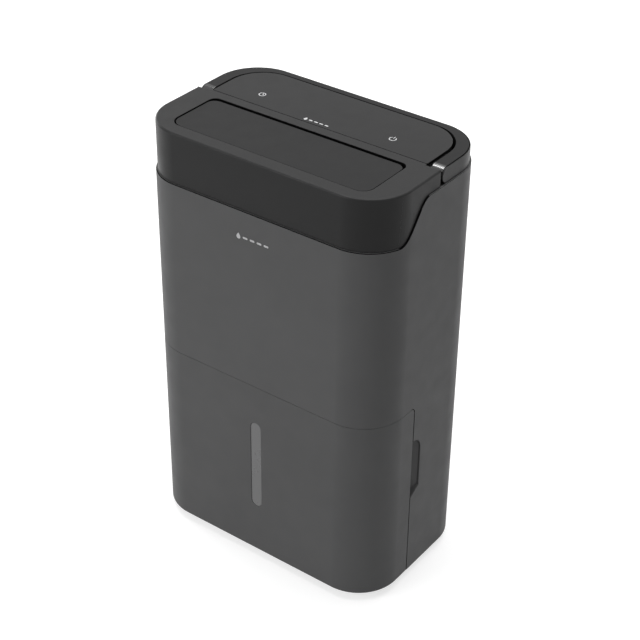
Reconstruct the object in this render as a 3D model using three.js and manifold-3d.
// Portable compressor dehumidifier: front water tank, rear air intake, top outlet flap, folding carry handle.
// Millimetres, +Z up, front towards -Y, origin on the floor under the middle of the cabinet.
import * as THREE from 'three';
import { mergeVertices } from 'three/addons/utils/BufferGeometryUtils.js';
import Module from 'manifold-3d';

// ---- Driving dimensions (heights are above the cabinet's underside) ----
const WIDTH = 350;
const DEPTH = 216;
const CORNER = 58;             // plan radius of the four upright corners
const TOP = 559.5;             // top of the collar and of the control panel
const CASTOR_GAP = 12;         // floor to cabinet underside
const WALL = 3;                // moulded wall thickness
const GAP = 0.4;               // clearance between fixed mouldings
const SEAM = 0.9;              // visible joint between outer mouldings

const COLLAR_INSET = 2;        // the collar and handle stand in from the cabinet's sides
const COLLAR_FRONT_Z = 494;    // collar's lower edge at the front
const COLLAR_REAR_Z = 538.5;   // and where it has swept up to the handle
const SWEEP_FRONT_Y = -67.7;
const SWEEP_REAR_Y = -17;

const REAR_SEAM_Y = 96;        // joint between main casing and rear cover
const TANK_TOP_Z = 257;
const TANK_REAR_Y = -26;
const TANK_CORNER = 7;         // radius where the tank's top joint turns down the side

const FLAP = { x: 138.5, front: -87, rear: -5, frontRadius: 15.5, rearRadius: 9.5, z: 558.6, thickness: 4 };
const FLAP_HINGE = { y: -11.5, z: 554.6 };
const PANEL = { x: 152.5, front: 9.4, rear: 92.8, frontRadius: 2, rearRadius: 45 };
const HANDLE = { inner: 156, rearInner: 95.8, low: 539.3, high: 558.6, end: 9, trim: 1.6 };
const HANDLE_PIVOT = { y: 17, z: 549 };
const DECK_Z = 538.2;          // deck that the folded handle lies over

const WINDOW = { width: 16, low: 72, high: 202.5 };
const POCKET = { front: -26, rear: -8, low: 117, step: 129, high: 205.5, radius: 18, deep: 15, shallow: 2.5 };
const INTAKE = { x: 128, low: 278, high: 488, radius: 12 };
const FAN = { x: 0, z: 372, radius: 70, front: -56, rear: -16, shaft: 4 };
const SCROLL = { front: -62, rear: -8, throat: 80, growth: 38, outlet: 106, wall: 2.5 };
const COMPRESSOR = { x: 92, y: 48, radius: 44 };
const CASTOR = { x: 120, y: 68, trail: 6, radius: 6.4, half: 4.2 };
const CORNER_STEPS = 7;

// ---- Solids ----
const wasm = await Module();
wasm.setup();
const X = new THREE.Vector3(1, 0, 0);
const Y = new THREE.Vector3(0, 1, 0);
const Z = new THREE.Vector3(0, 0, 1);

function toSolid(geometry) {
  const bare = geometry.clone();
  bare.deleteAttribute('normal');
  bare.deleteAttribute('uv');
  const merged = mergeVertices(bare, 1e-4);
  const vertProperties = Float32Array.from(merged.attributes.position.array);
  const triVerts = Uint32Array.from(merged.index.array);
  return new wasm.Manifold(new wasm.Mesh({ numProp: 3, vertProperties, triVerts }));
}

function toGeometry(solid) {
  const mesh = solid.getMesh();
  const geometry = new THREE.BufferGeometry();
  geometry.setAttribute('position', new THREE.BufferAttribute(mesh.vertProperties, 3));
  geometry.setIndex(new THREE.BufferAttribute(mesh.triVerts, 1));
  return geometry;
}

const join = (first, ...others) => others.reduce((sum, solid) => sum.add(solid), first);
const cut = (first, ...others) => others.reduce((sum, solid) => sum.subtract(solid), first);

// Extrudes an outline with the shape's own x, y and depth turned to the three given directions.
function extrude(outline, holes, depth, directions, start) {
  const shape = new THREE.Shape(outline);
  shape.holes = holes.map((hole) => new THREE.Path(hole));
  const geometry = new THREE.ExtrudeGeometry(shape, { depth, bevelEnabled: false });
  geometry.applyMatrix4(new THREE.Matrix4().makeBasis(...directions).setPosition(...start));
  return toSolid(geometry);
}

// An outline in (x, y) raised along Z, one in (y, z) run along X, and one in (x, z) run along Y.
function alongZ(outline, low, high, holes = []) {
  return extrude(outline, holes, high - low, [X, Y, Z], [0, 0, low]);
}
function alongX(outline, low, high, holes = []) {
  return extrude(outline, holes, high - low, [Y, Z, X], [low, 0, 0]);
}
function alongY(outline, low, high, holes = []) {
  return extrude(outline, holes, high - low, [X, Z, Y.clone().negate()], [0, high, 0]);
}

function box(x0, x1, y0, y1, z0, z1) {
  const geometry = new THREE.BoxGeometry(x1 - x0, y1 - y0, z1 - z0);
  geometry.translate((x0 + x1) / 2, (y0 + y1) / 2, (z0 + z1) / 2);
  return toSolid(geometry);
}

// A round rod along an axis; u and v are its place on the other two axes, in X, Y, Z order.
function rod(axis, radius, low, high, u, v, sides = 16, endRadius = radius) {
  const geometry = new THREE.CylinderGeometry(endRadius, radius, high - low, sides);
  const middle = (low + high) / 2;
  if (axis === 'x') geometry.rotateZ(-Math.PI / 2).translate(middle, u, v);
  if (axis === 'y') geometry.translate(u, middle, v);
  if (axis === 'z') geometry.rotateX(Math.PI / 2).translate(u, v, middle);
  return toSolid(geometry);
}

function turned(profile, x, y, sides = 20) {
  const points = profile.map(([radius, z]) => new THREE.Vector2(radius, z));
  const geometry = new THREE.LatheGeometry(points, sides).rotateX(Math.PI / 2).translate(x, y, 0);
  return toSolid(geometry);
}

function pipe(points, radius, sides, steps) {
  const path = new THREE.CatmullRomCurve3(points.map((p) => new THREE.Vector3(...p)), false, 'centripetal');
  const section = new THREE.Shape(arc(0, 0, radius, 0, 2 * Math.PI * (1 - 1 / sides), sides - 1));
  return toSolid(new THREE.ExtrudeGeometry(section, { steps, bevelEnabled: false, extrudePath: path }));
}

// ---- Outlines ----
function arc(cx, cy, radius, from, to, steps) {
  const points = [];
  for (let i = 0; i <= steps; i += 1) {
    const angle = from + ((to - from) * i) / steps;
    points.push(new THREE.Vector2(cx + radius * Math.cos(angle), cy + radius * Math.sin(angle)));
  }
  return points;
}

function rounded(x0, x1, y0, y1, lowRadius, highRadius = lowRadius, steps = CORNER_STEPS) {
  const quarter = Math.PI / 2;
  return [
    ...arc(x0 + lowRadius, y0 + lowRadius, lowRadius, 2 * quarter, 3 * quarter, steps),
    ...arc(x1 - lowRadius, y0 + lowRadius, lowRadius, 3 * quarter, 4 * quarter, steps),
    ...arc(x1 - highRadius, y1 - highRadius, highRadius, 0, quarter, steps),
    ...arc(x0 + highRadius, y1 - highRadius, highRadius, quarter, 2 * quarter, steps),
  ];
}

function plan(inset) {
  const x = WIDTH / 2 - inset;
  const y = DEPTH / 2 - inset;
  return rounded(-x, x, -y, y, CORNER - inset);
}

const points = (list) => list.map(([a, b]) => new THREE.Vector2(a, b));
const FAR = 800;               // reaches past the cabinet on every side

// Everything above the sweeping joint between casing and collar.
function aboveSweep(raise) {
  const outline = [[-FAR, 2 * FAR], [-FAR, COLLAR_FRONT_Z + raise]];
  const steps = 10;
  for (let i = 0; i <= steps; i += 1) {
    const t = i / steps;
    const rise = (COLLAR_REAR_Z - COLLAR_FRONT_Z) * t * t * (3 - 2 * t);
    outline.push([SWEEP_FRONT_Y + (SWEEP_REAR_Y - SWEEP_FRONT_Y) * t, COLLAR_FRONT_Z + rise + raise]);
  }
  outline.push([FAR, COLLAR_REAR_Z + raise], [FAR, 2 * FAR]);
  return alongX(points(outline), -FAR, FAR);
}

// The tank's share of the cabinet: in front of the side joint and under the top joint.
function tankSpace(grow) {
  const radius = TANK_CORNER + grow;
  const rear = TANK_REAR_Y + grow;
  const top = TANK_TOP_Z + grow;
  const outline = [
    ...points([[-FAR, -FAR], [rear, -FAR]]),
    ...arc(rear - radius, top - radius, radius, 0, Math.PI / 2, 4),
    ...points([[-FAR, top]]),
  ];
  return alongX(outline, -FAR, FAR);
}

// ---- Materials ----
const material = (color, roughness = 0.6, metalness = 0) =>
  new THREE.MeshStandardMaterial({ color, roughness, metalness });
const paint = {
  cabinet: material(0x545556, 0.55),
  charcoal: material(0x434445, 0.5),
  panel: material(0x4c4d4e, 0.45),
  window: material(0x6d6e70, 0.3),
  black: material(0x1c1c1e, 0.7),
  inner: material(0x8a8c8e, 0.6),
  clear: material(0xb9c2c8, 0.2),
  steel: material(0xa9abad, 0.35, 0.9),
  fins: material(0xc4c7ca, 0.4, 0.9),
  copper: material(0xb5714a, 0.35, 0.9),
  rubber: material(0x202022, 0.9),
  board: material(0x1f5a3a, 0.5),
  foam: material(0xe9ecee, 0.8),
};

const dehumidifier = new THREE.Group();
dehumidifier.name = 'dehumidifier';
const cabinet = new THREE.Group();
cabinet.position.z = CASTOR_GAP;
dehumidifier.add(cabinet);

function part(name, solid, finish) {
  const mesh = new THREE.Mesh(toGeometry(solid), finish);
  mesh.name = name;
  cabinet.add(mesh);
}

// ---- Outer mouldings ----
// A finger pocket behind the tank's side edge: round at the top, tapering forwards at the bottom.
function pocketOutline(grow) {
  const { front, rear, low, step, high, radius } = POCKET;
  return [
    ...points([[front - 2, low - grow], [front, low - grow], [rear + grow, step - grow / 2]]),
    ...arc(rear - radius + grow, high - radius + grow, radius, 0, Math.PI / 2, 5),
    ...points([[front - 2, high + grow]]),
  ];
}

// The pocket's floor slopes outwards from its deep edge beside the tank.
function pocketSpace(grow, outerX) {
  const { front, rear, deep, shallow } = POCKET;
  const side = WIDTH / 2 - grow;
  const [ahead, behind] = [front - 2, rear + grow];
  const slope = points([[side - deep, ahead], [outerX, ahead], [outerX, behind], [side - shallow, behind]]);
  return alongX(pocketOutline(grow), 0, outerX).intersect(alongZ(slope, 0, TOP));
}

function mainCasing() {
  const shell = alongZ(plan(0), 0, TOP, [plan(WALL)]);
  const onBothSides = (solid) => [solid, solid.mirror([1, 0, 0])];
  const cups = onBothSides(pocketSpace(2, WIDTH / 2 - 1));
  const hollows = onBothSides(pocketSpace(0, FAR));
  const rearCut = box(-FAR, FAR, REAR_SEAM_Y, FAR, -FAR, FAR);
  return cut(join(shell, ...cups), ...hollows, rearCut, tankSpace(SEAM), aboveSweep(0));
}

function tankFront() {
  const shell = alongZ(plan(0), 0.6, TOP, [plan(WALL)]);
  const slotX = WINDOW.width / 2;
  const slot = alongY(rounded(-slotX, slotX, WINDOW.low, WINDOW.high, slotX, slotX, 5), -FAR, 0);
  return cut(shell.intersect(tankSpace(0)), slot);
}

function waterWindow() {
  const x = WINDOW.width / 2 - 0.3;
  const face = -DEPTH / 2 + 0.6;
  return alongY(rounded(-x, x, WINDOW.low + 0.3, WINDOW.high - 0.3, x, x, 5), face, face + 2);
}

const SCREWS = [[-112, 262], [112, 262], [-112, 508], [112, 508]];
const GLAND = { x: -100, z: 70, radius: 9 };
const DRAIN = { x: 108, z: 228, radius: 9, mouth: 103.4 };

function rearCover() {
  const low = 0.6;
  const shell = alongZ(plan(0), low, DECK_Z);
  const hollow = alongZ(plan(WALL), low + WALL, DECK_Z - WALL);
  const front = box(-FAR, FAR, -FAR, REAR_SEAM_Y + SEAM, -FAR, FAR);
  const intake = alongY(rounded(-INTAKE.x, INTAKE.x, INTAKE.low, INTAKE.high, INTAKE.radius), 0, FAR);
  const holes = [
    rod('y', GLAND.radius + 0.3, 0, FAR, GLAND.x, GLAND.z),
    rod('y', DRAIN.radius + 0.3, 0, FAR, DRAIN.x, DRAIN.z),
    ...SCREWS.map(([x, z]) => rod('y', 2.1, 0, FAR, x, z, 10)),
    ...SCREWS.map(([x, z]) => rod('y', 4.6, DEPTH / 2 - 1.6, FAR, x, z, 12)),
  ];
  return cut(shell, hollow, front, intake, ...holes);
}

function flapOutline(shrink, rear = FLAP.rear, rearRadius = FLAP.rearRadius) {
  const { x, front, frontRadius } = FLAP;
  return rounded(shrink - x, x - shrink, front + shrink, rear, frontRadius, rearRadius, 5);
}

// The control panel's outline, drawn in by an inset at the sides and rear and moved at its front edge.
function panelOutline(inset, frontStep, steps) {
  const { x, front, rear, frontRadius, rearRadius } = PANEL;
  return rounded(inset - x, x - inset, front + frontStep, rear - inset, frontRadius, rearRadius - inset, steps);
}

function topCover() {
  const inset = COLLAR_INSET;
  const lipInset = WALL + GAP;
  const ahead = (y) => box(-FAR, FAR, -FAR, y, -FAR, FAR);
  const front = ahead(PANEL.front - SEAM);
  const collar = alongZ(plan(inset), COLLAR_FRONT_Z, TOP, [plan(inset + WALL)]).intersect(front);
  const roof = alongZ(plan(inset), TOP - WALL, TOP, [flapOutline(0)]).intersect(front);
  const skirt = alongZ(plan(lipInset), COLLAR_FRONT_Z - 8, TOP - 4, [plan(lipInset + 2.2)])
    .intersect(ahead(PANEL.front));
  const step = alongZ(plan(lipInset), DECK_Z - WALL, TOP)
    .intersect(box(-FAR, FAR, PANEL.front - SEAM - WALL, PANEL.front - SEAM, 0, FAR));
  const pedestal = panelOutline(1, -2, 6);
  const pedestalInside = panelOutline(3.5, 0, 6);
  const deck = alongZ(plan(lipInset), DECK_Z - WALL, DECK_Z, [pedestalInside])
    .intersect(box(-FAR, FAR, PANEL.front - SEAM - 1, REAR_SEAM_Y - GAP, 0, FAR));
  const upstand = alongZ(pedestal, DECK_Z - WALL, TOP - 4.6, [pedestalInside]);
  const well = alongZ(flapOutline(-WALL, FLAP.rear + WALL), TOP - 22, TOP - 1, [flapOutline(0)]);
  const handleNotches = [-1, 1].map((side) => {
    const span = [side * PANEL.x, side * FAR].sort((a, b) => a - b);
    return box(...span, 5.5, FAR, DECK_Z, FAR);
  });
  const pinHoles = rod('x', 4.3, -FAR, FAR, HANDLE_PIVOT.y, HANDLE_PIVOT.z);
  const flapPins = rod('x', 2.2, -FLAP.x - 2.4, FLAP.x + 2.4, FLAP_HINGE.y, FLAP_HINGE.z, 10);
  const body = join(collar, roof, skirt, step, deck, upstand, well);
  const aboveJoint = aboveSweep(SEAM);
  const outside = cut(alongZ(plan(-5), 0, TOP), alongZ(plan(lipInset), -1, TOP + 1));
  const trim = cut(outside, aboveJoint);
  return cut(body, trim, ...handleNotches, pinHoles, flapPins);
}

function outletFlap() {
  const side = 2;
  const swingRadius = FLAP.rearRadius + 1.5;     // lets the rear corners turn inside the opening
  const outline = flapOutline(side, FLAP.rear - 4, swingRadius);
  const plate = alongZ(outline, FLAP.z - 2.2, FLAP.z);
  const rim = alongZ(outline, FLAP.z - FLAP.thickness, FLAP.z - 1, [flapOutline(side + 2, FLAP.rear - 9)]);
  const barrel = rod('x', 1.9, -FLAP.x - 1.8, FLAP.x + 1.8, FLAP_HINGE.y, FLAP_HINGE.z, 10);
  return join(plate, rim, barrel);
}

function controlPanel() {
  const plate = alongZ(panelOutline(0, 0, 8), TOP - WALL, TOP);
  const locatingBlock = alongZ(panelOutline(4, 4, 8), TOP - 6, TOP - 1);
  return join(plate, locatingBlock);
}

// ---- Carry handle: a bail around the control panel, with a thin trim band round its outside ----
function handleBail(outside, inside) {
  const { low, high } = HANDLE;
  const band = cut(alongZ(outside, low, high), alongZ(inside, low - 1, high + 1));
  const middle = (low + high) / 2;
  const round = (high - low) / 2;
  const sideView = [
    ...arc(HANDLE.end + round, middle, round, Math.PI / 2, Math.PI * 1.5, 10),
    ...points([[FAR, low], [FAR, high]]),
  ];
  return band.intersect(alongX(sideView, -FAR, FAR));
}

function handleFrame() {
  const { inner, rearInner, trim } = HANDLE;
  const inside = rounded(-inner, inner, -FAR / 2, rearInner, 2, PANEL.rearRadius + 2.5);
  const socket = rod('x', 4.4, -inner - 11, inner + 11, HANDLE_PIVOT.y, HANDLE_PIVOT.z);
  return cut(handleBail(plan(COLLAR_INSET + trim + GAP), inside), socket);
}

function handleTrim() {
  return handleBail(plan(COLLAR_INSET), plan(COLLAR_INSET + HANDLE.trim));
}

function handlePin(side) {
  const span = [side * 147, side * (HANDLE.inner + 10)].sort((a, b) => a - b);
  return rod('x', 4, ...span, HANDLE_PIVOT.y, HANDLE_PIVOT.z);
}

// ---- Chassis ----
const DECK = { low: 258.5, high: 261, rear: 38 };
const BULKHEAD = { front: -4.5, rear: -2 };
const DRIP_HOLE = { x: -60, y: -40, radius: 10 };

function basePan() {
  const behind = box(-FAR, FAR, -FAR, REAR_SEAM_Y - GAP, -FAR, FAR);
  const skirt = alongZ(plan(WALL + GAP), 0.6, 7, [plan(2 * WALL + GAP)]);
  const plate = alongZ(plan(WALL + GAP), 4, 7);
  const runners = [-1, 1].map((side) => box(side * 62 - 2, side * 62 + 2, -95, -12, 6, 10.2));
  const bosses = castorPlaces.map(([x, y]) => rod('z', 6.5, 6, 9.8, x, y, 12));
  const bores = castorPlaces.map(([x, y]) => rod('z', 2.8, 0, 20, x, y, 10));
  return cut(join(skirt, plate, ...runners, ...bosses).intersect(behind), ...bores);
}

function midDeck() {
  const ahead = box(-FAR, FAR, -FAR, DECK.rear, 0, FAR);
  const plate = alongZ(plan(WALL + GAP), DECK.low, DECK.high).intersect(ahead);
  const drain = rod('z', DRIP_HOLE.radius - 3, 0, FAR, DRIP_HOLE.x, DRIP_HOLE.y);
  return cut(plate, drain);
}

// ---- Water tank ----
const BUCKET = { x: 153, front: -103.5, rear: -11, low: 10.6, top: 235.4, wall: 2.5, corner: 50, rearCorner: 12 };

function bucketOutline(inset) {
  const { x, front, rear, corner, rearCorner } = BUCKET;
  return rounded(inset - x, x - inset, front + inset, rear - inset, corner - inset, rearCorner - inset, 6);
}

function tankBucket() {
  const { low, top, wall } = BUCKET;
  return cut(alongZ(bucketOutline(0), low, top), alongZ(bucketOutline(wall), low + wall, top + 1));
}

const FLOAT = { x: 112, y: -40, z: 200, reach: 78, half: 12 };

function tankLid() {
  const { x, y, z, half } = FLOAT;
  const plate = alongZ(bucketOutline(-1), BUCKET.top + 0.3, BUCKET.top + 3);
  const drip = rod('z', DRIP_HOLE.radius, 0, FAR, DRIP_HOLE.x, DRIP_HOLE.y);
  const hangers = [y - half - 2.6, y + half + 0.6].map((low) =>
    box(x - 6, x + 6, low, low + 2, z - 6, BUCKET.top + 1));
  const pin = rod('y', 1.8, y - half - 1, y + half + 1, x, z, 10);
  return join(cut(plate, drip), ...hangers, pin);
}

function floatArm() {
  const { x, y, z, half } = FLOAT;
  const hub = rod('y', 4.5, y - half, y + half, x, z, 12);
  const arm = box(x - 40, x - 3, y - 4, y + 4, z - 2, z + 2);
  const bore = rod('y', 2.2, y - half - 1, y + half + 1, x, z, 12);
  return cut(join(hub, arm), bore);
}

function floatBlock() {
  const { x, y, z, reach } = FLOAT;
  const outline = rounded(x - reach, x - 40.3, z - 18, z + 2, 5, 3, 3);
  return alongY(outline, y - 16, y + 16);
}

// ---- Intake filter, pulled off the rear ----
function intakeGrille() {
  const inset = 0.5;
  const x = INTAKE.x - inset;
  const low = INTAKE.low + inset;
  const high = INTAKE.high - inset;
  const rim = 7;
  const face = DEPTH / 2 - 0.4;
  const frame = alongY(rounded(-x, x, low, high, INTAKE.radius), face - 4.6, face,
    [rounded(rim - x, x - rim, low + rim, high - rim, INTAKE.radius - rim / 2)]);
  const slats = [];
  const count = 13;
  for (let i = 1; i <= count; i += 1) {
    const z = low + rim + ((high - low - 2 * rim) * i) / (count + 1);
    slats.push(box(3 - x, x - 3, face - 4, face - 1, z - 2, z + 2));
  }
  const rib = box(-2.5, 2.5, face - 4.3, face - 0.6, low + 3, high - 3);
  return join(frame, rib, ...slats);
}

function filterFrame() {
  const x = INTAKE.x - 1;
  const low = INTAKE.low + 1;
  const high = INTAKE.high - 1;
  const opening = rounded(7 - x, x - 7, low + 7, high - 7, 6, 6, 3);
  return alongY(rounded(-x, x, low, high, INTAKE.radius, INTAKE.radius, 4), 97.5, 102.6, [opening]);
}

function filterMesh() {
  const x = INTAKE.x - 8.4;
  return alongY(rounded(-x, x, INTAKE.low + 8.4, INTAKE.high - 8.4, 5, 5, 3), 99, 100.5);
}

// ---- Air path ----
function scrollOutline(inset, top) {
  const steps = 22;
  const start = (100 * Math.PI) / 180;
  const outline = [];
  for (let i = 0; i <= steps; i += 1) {
    const turn = (2 * Math.PI - start) * (i / steps);
    const radius = SCROLL.throat + (SCROLL.growth * i) / steps - inset;
    outline.push([FAN.x + radius * Math.cos(start + turn), FAN.z + radius * Math.sin(start + turn)]);
  }
  outline.push([outline.at(-1)[0], top], [outline[0][0] + inset, top]);
  return points(outline);
}

function scrollHousing() {
  const { front, rear, outlet, wall } = SCROLL;
  const outer = alongY(scrollOutline(0, FAN.z + outlet), front, rear);
  const inner = alongY(scrollOutline(wall, FAN.z + outlet + 5), front + wall, rear - wall);
  const inlet = rod('y', FAN.radius - 10, rear - 6, rear + 5, FAN.x, FAN.z, 28);
  const shaft = rod('y', 10, front - 5, front + 6, FAN.x, FAN.z, 12);
  return cut(outer, inner, inlet, shaft);
}

function fanWheel() {
  const { x, z, radius, front, rear, shaft } = FAN;
  const plate = rod('y', radius, front, front + 2.5, x, z, 32);
  const hub = rod('y', 11, front + 1, rear - 6, x, z, 16);
  const eye = rod('y', radius - 9, rear - 5, rear + 2, x, z, 32);
  const ring = cut(rod('y', radius, rear - 3, rear, x, z, 32), eye);
  const blades = [];
  const count = 16;
  for (let i = 0; i < count; i += 1) {
    const blade = new THREE.BoxGeometry(9, rear - front - 3, 1.6);
    blade.rotateY(0.5).translate(radius - 5.6, (front + rear) / 2, 0);
    blade.rotateY((2 * Math.PI * i) / count).translate(x, 0, z);
    blades.push(toSolid(blade));
  }
  const bore = rod('y', shaft + 0.3, front - 5, rear, x, z, 14);
  return cut(join(plate, hub, ring, ...blades), bore);
}

function fanMotor() {
  const { x, z } = FAN;
  const can = rod('y', 40, -99, SCROLL.front - 0.5, x, z, 24);
  const nose = rod('y', 20, -103.5, -98, x, z, 16);
  const bearing = rod('y', FAN.shaft + 0.4, -78, 0, x, z, 14);
  return cut(join(can, nose), bearing);
}

const DUCT = { x: 133, front: -84, rear: -8.2, low: 478.6, high: TOP - 22.6, wall: 2 };

function outletDuct() {
  const { x, front, rear, low, high, wall } = DUCT;
  const outer = rounded(-x, x, front, rear, 13, 8, 4);
  const inner = rounded(wall - x, x - wall, front + wall, rear - wall, 11, 6, 4);
  const walls = alongZ(outer, low, high, [inner]);
  const throat = scrollOutline(SCROLL.wall, 0);
  const [left, right] = [throat[0].x + 3, throat.at(-2).x - 3];
  const mouth = box(left, right, SCROLL.front + 4, SCROLL.rear - 4, low - 5, low + 5);
  return join(walls, cut(alongZ(outer, low, low + wall), mouth));
}

function outletGrille() {
  const high = TOP - 9;
  const low = high - 8;
  const frame = alongZ(flapOutline(0.6), low, high, [flapOutline(4.2, FLAP.rear - 4)]);
  const bars = [];
  const count = 4;
  for (let i = 1; i <= count; i += 1) {
    const y = FLAP.front + ((FLAP.rear - FLAP.front) * i) / (count + 1);
    bars.push(box(2 - FLAP.x, FLAP.x - 2, y - 1, y + 1, low + 0.5, high - 0.5));
  }
  const posts = [-70, 0, 70].map((x) => box(x - 1, x + 1, FLAP.front + 2, FLAP.rear - 2, low + 1, low + 4));
  return join(frame, ...bars, ...posts);
}

// ---- Refrigeration ----
function coil(front, rear) {
  const halfWidth = 132;
  const [low, high] = [281, 480];
  const teeth = 14;
  const pitch = (2 * halfWidth) / teeth;
  const outline = [];
  const root = front + 4;
  for (let i = 0; i < teeth; i += 1) {
    const left = -halfWidth + i * pitch;
    const right = left + pitch * 0.35;
    outline.push([left, rear], [right, rear], [right, root], [left + pitch, root]);
  }
  outline.push([halfWidth, rear], [halfWidth + 2, rear], [halfWidth + 2, front], [-halfWidth, front]);
  const bends = [];
  const middle = (front + rear) / 2;
  for (let i = 0; i < 5; i += 1) {
    const z = low + 20 + i * 40;
    const arch = [[0, -10], [9, -9], [14, 0], [9, 9], [0, 10]];
    bends.push(pipe(arch.map(([out, up]) => [halfWidth - 2 + out, middle, z + up]), 3.4, 6, 5));
  }
  return join(alongZ(points(outline), low, high), ...bends);
}

function dripTray() {
  const outer = rounded(-142, 142, 42, 95, 6, 6, 3);
  const inner = rounded(-140, 140, 44, 93, 4, 4, 3);
  const spout = box(DRIP_HOLE.x - 8, DRIP_HOLE.x + 8, -48, 44, 264, 270);
  const channel = box(DRIP_HOLE.x - 6, DRIP_HOLE.x + 6, -46, 50, 266, 272);
  const floor = 266;
  return cut(join(alongZ(outer, 264, 277), spout), alongZ(inner, floor, 280), channel,
    rod('z', 5, 260, 270, DRIP_HOLE.x, DRIP_HOLE.y));
}

function compressor() {
  const { x, y, radius } = COMPRESSOR;
  const profile = [[0, 24], [radius - 12, 24], [radius - 3, 30], [radius, 40], [radius, 98], [radius + 2, 99],
    [radius + 2, 103], [radius, 104], [radius, 160], [radius - 5, 174], [radius - 18, 184], [0, 187]];
  const feet = compressorFeet.map(([fx, fy]) => box(fx - 9, fx + 9, fy - 9, fy + 9, 20.4, 23));
  const spider = rod('z', 30, 20.4, 26, x, y, 20);
  const arms = compressorFeet.map(([fx, fy]) => {
    const arm = new THREE.BoxGeometry(Math.hypot(fx - x, fy - y), 14, 2.6);
    arm.rotateZ(Math.atan2(fy - y, fx - x)).translate((fx + x) / 2, (fy + y) / 2, 21.7);
    return toSolid(arm);
  });
  return join(turned(profile, x, y), spider, ...feet, ...arms);
}

const compressorFeet = [[92, 9], [52, 78], [132, 78]];
const castorPlaces = [[-1, -1], [1, -1], [-1, 1], [1, 1]].map(([sx, sy]) => [sx * CASTOR.x, sy * CASTOR.y]);

function accumulator() {
  const profile = [[0, 40], [10, 42], [15, 50], [15, 130], [10, 140], [0, 142]];
  return turned(profile, 28, 30, 14);
}

const suction = [
  [28, 30, 142.4], [28, 30, 190], [60, 28, 215], [120, 30, 225], [150, 60, 250], [154, 80, 280], [152, 83, 296],
];
const discharge = [
  [110, 60, 186.5], [110, 64, 205], [130, 68, 225], [161, 60, 246], [164, 50, 300], [160, 54, 400], [152, 57, 456],
];
const capillary = [[152, 60, 340], [158, 66, 336], [158, 74, 330], [152, 80, 326]];

function controlBox() {
  const lid = 96;
  const outer = box(-162, -62, 6, 34, 60, 60 + lid);
  const inner = box(-159, -65, 9, 37, 63, 57 + lid);
  const vents = [0, 1, 2, 3].map((i) => box(-140 + i * 16, -134 + i * 16, 0, 12, 80, 130));
  return cut(outer, inner, ...vents);
}

function capacitor() {
  const profile = [[0, 12], [17, 12], [17, 66], [18, 68], [18, 71], [0, 71]];
  return turned(profile, -38, 70, 16);
}

function drainPort() {
  const { x, z, radius } = DRAIN;
  const tube = rod('y', radius, 84, DRAIN.mouth, x, z, 18);
  const riser = rod('z', 5, z, 263.6, x, 88, 12);
  const bore = rod('y', radius - 3, 90, FAR, x, z, 18);
  return cut(join(tube, riser), bore);
}

function drainPlug() {
  const { x, z, radius, mouth } = DRAIN;
  const stem = rod('y', radius - 3.4, 93, mouth + 1, x, z, 16);
  const cap = rod('y', radius - 1, mouth + 0.4, DEPTH / 2 - 0.6, x, z, 18);
  return join(stem, cap);
}

// Small electrical parts: each is a case with the piece that it works through.
function flapMotor() {
  return join(rod('x', 9, 144.5, 160, -30, 541, 16), box(143.6, 145.2, -44, -16, 531, 551));
}

function tankSwitch() {
  return join(box(-132, -108, -9.6, -4.8, 205, 219), box(-122, -118, -10.6, -9, 208, 216));
}

function humiditySensor() {
  return join(box(-146, -138, 76, 90, 380, 404), box(-145, -139, 89, 93, 384, 400));
}

function cordGland() {
  const { x, z, radius } = GLAND;
  const flange = rod('y', radius + 2, 101.5, 104.6, x, z, 18);
  const body = rod('y', radius, 103, DEPTH / 2 - 0.5, x, z, 18);
  return cut(join(flange, body), rod('y', 3.6, 90, FAR, x, z, 12));
}

function rearScrew(x, z) {
  const head = rod('y', 4.2, DEPTH / 2 - 1.4, DEPTH / 2 - 0.2, x, z, 12);
  const shank = rod('y', 1.8, 97, DEPTH / 2 - 1, x, z, 10);
  const slot = box(x - 2.4, x + 2.4, DEPTH / 2 - 0.9, FAR, z - 0.5, z + 0.5);
  return cut(join(head, shank), slot);
}

// ---- Castors ----
function castorFork(x, y) {
  const { trail, half } = CASTOR;
  const hubZ = CASTOR.radius - CASTOR_GAP;
  const plate = rod('z', 9, 1.2, 3.7, x, y, 16);
  const stem = rod('z', 2.5, 3, 9.4, x, y, 10);
  const cheeks = [-1, 1].map((side) => {
    const inner = x + side * (half + 0.4);
    const outer = x + side * (half + 2.4);
    const span = [inner, outer].sort((a, b) => a - b);
    const hubY = y + trail;
    const outline = [[y - 5, 2], [hubY - 3, hubZ - 2.4], [hubY + 3, hubZ - 2.4], [hubY + 2, 2]];
    return alongX(points(outline), ...span);
  });
  const axle = rod('x', 1.3, x - half - 1, x + half + 1, y + trail, hubZ, 10);
  return join(plate, stem, ...cheeks, axle);
}

function castorWheel(x, y) {
  const { trail, half, radius } = CASTOR;
  const hubZ = radius - CASTOR_GAP;
  const tyre = rod('x', radius, x - half, x + half, y + trail, hubZ, 20);
  return cut(tyre, rod('x', 1.7, x - half - 1, x + half + 1, y + trail, hubZ, 10));
}

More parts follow.
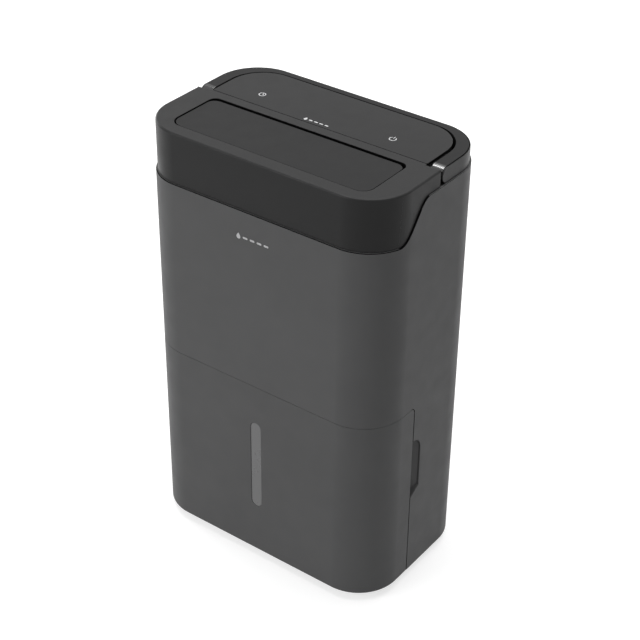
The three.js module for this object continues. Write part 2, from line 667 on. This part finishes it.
// ---- Assembly ----
part('main_casing', mainCasing(), paint.cabinet);
part('rear_cover', rearCover(), paint.cabinet);
part('base_pan', basePan(), paint.black);
part('bulkhead', box(-171, 171, BULKHEAD.front, BULKHEAD.rear, 7.3, DECK.low - 0.3), paint.black);
part('mid_deck', midDeck(), paint.black);
part('top_cover', topCover(), paint.charcoal);
part('control_panel', controlPanel(), paint.panel);
part('panel_board', alongZ(rounded(-110, 110, 20, 60, 3, 3, 2), 546, 547.6), paint.board);
part('outlet_duct', outletDuct(), paint.black);
part('outlet_grille', outletGrille(), paint.black);
part('flap_motor', flapMotor(), paint.inner);
part('scroll_housing', scrollHousing(), paint.inner);
part('fan_motor', fanMotor(), paint.steel);
part('evaporator', coil(72, 93.5), paint.fins);
part('condenser', coil(46, 68), paint.fins);
part('drip_tray', dripTray(), paint.inner);
part('compressor', compressor(), paint.black);
compressorFeet.forEach(([x, y], i) => {
  part(`compressor_foot_${i + 1}`, rod('z', 8, 7.3, 20.1, x, y, 14, 6), paint.rubber);
});
part('accumulator', accumulator(), paint.copper);
part('suction_pipe', pipe(suction, 4, 6, 22), paint.copper);
part('discharge_pipe', pipe(discharge, 3, 6, 22), paint.copper);
part('capillary_tube', pipe(capillary, 1.4, 6, 12), paint.copper);
part('control_box', controlBox(), paint.inner);
part('capacitor', capacitor(), paint.inner);
part('tank_switch', tankSwitch(), paint.black);
part('cord_gland', cordGland(), paint.rubber);
part('drain_port', drainPort(), paint.black);
part('humidity_sensor', humiditySensor(), paint.inner);
SCREWS.forEach(([x, z], i) => part(`rear_screw_${i + 1}`, rearScrew(x, z), paint.steel));
part('handle_pin_left', handlePin(-1), paint.steel);
part('handle_pin_right', handlePin(1), paint.steel);

part('outlet_flap', outletFlap(), paint.charcoal);
part('handle_frame', handleFrame(), paint.charcoal);
part('handle_trim', handleTrim(), paint.charcoal);
part('tank_front', tankFront(), paint.cabinet);
part('water_window', waterWindow(), paint.window);
part('tank_bucket', tankBucket(), paint.clear);
part('tank_lid', tankLid(), paint.clear);
part('float_arm', floatArm(), paint.inner);
part('float_block', floatBlock(), paint.foam);
part('intake_grille', intakeGrille(), paint.cabinet);
part('filter_frame', filterFrame(), paint.black);
part('filter_mesh', filterMesh(), paint.foam);
part('fan_wheel', fanWheel(), paint.black);
part('fan_shaft', rod('y', FAN.shaft, -77, FAN.rear - 2, FAN.x, FAN.z, 14), paint.steel);
part('drain_plug', drainPlug(), paint.rubber);
castorPlaces.forEach(([x, y], i) => {
  part(`castor_fork_${i + 1}`, castorFork(x, y), paint.black);
  part(`castor_wheel_${i + 1}`, castorWheel(x, y), paint.rubber);
});

export default dehumidifier;
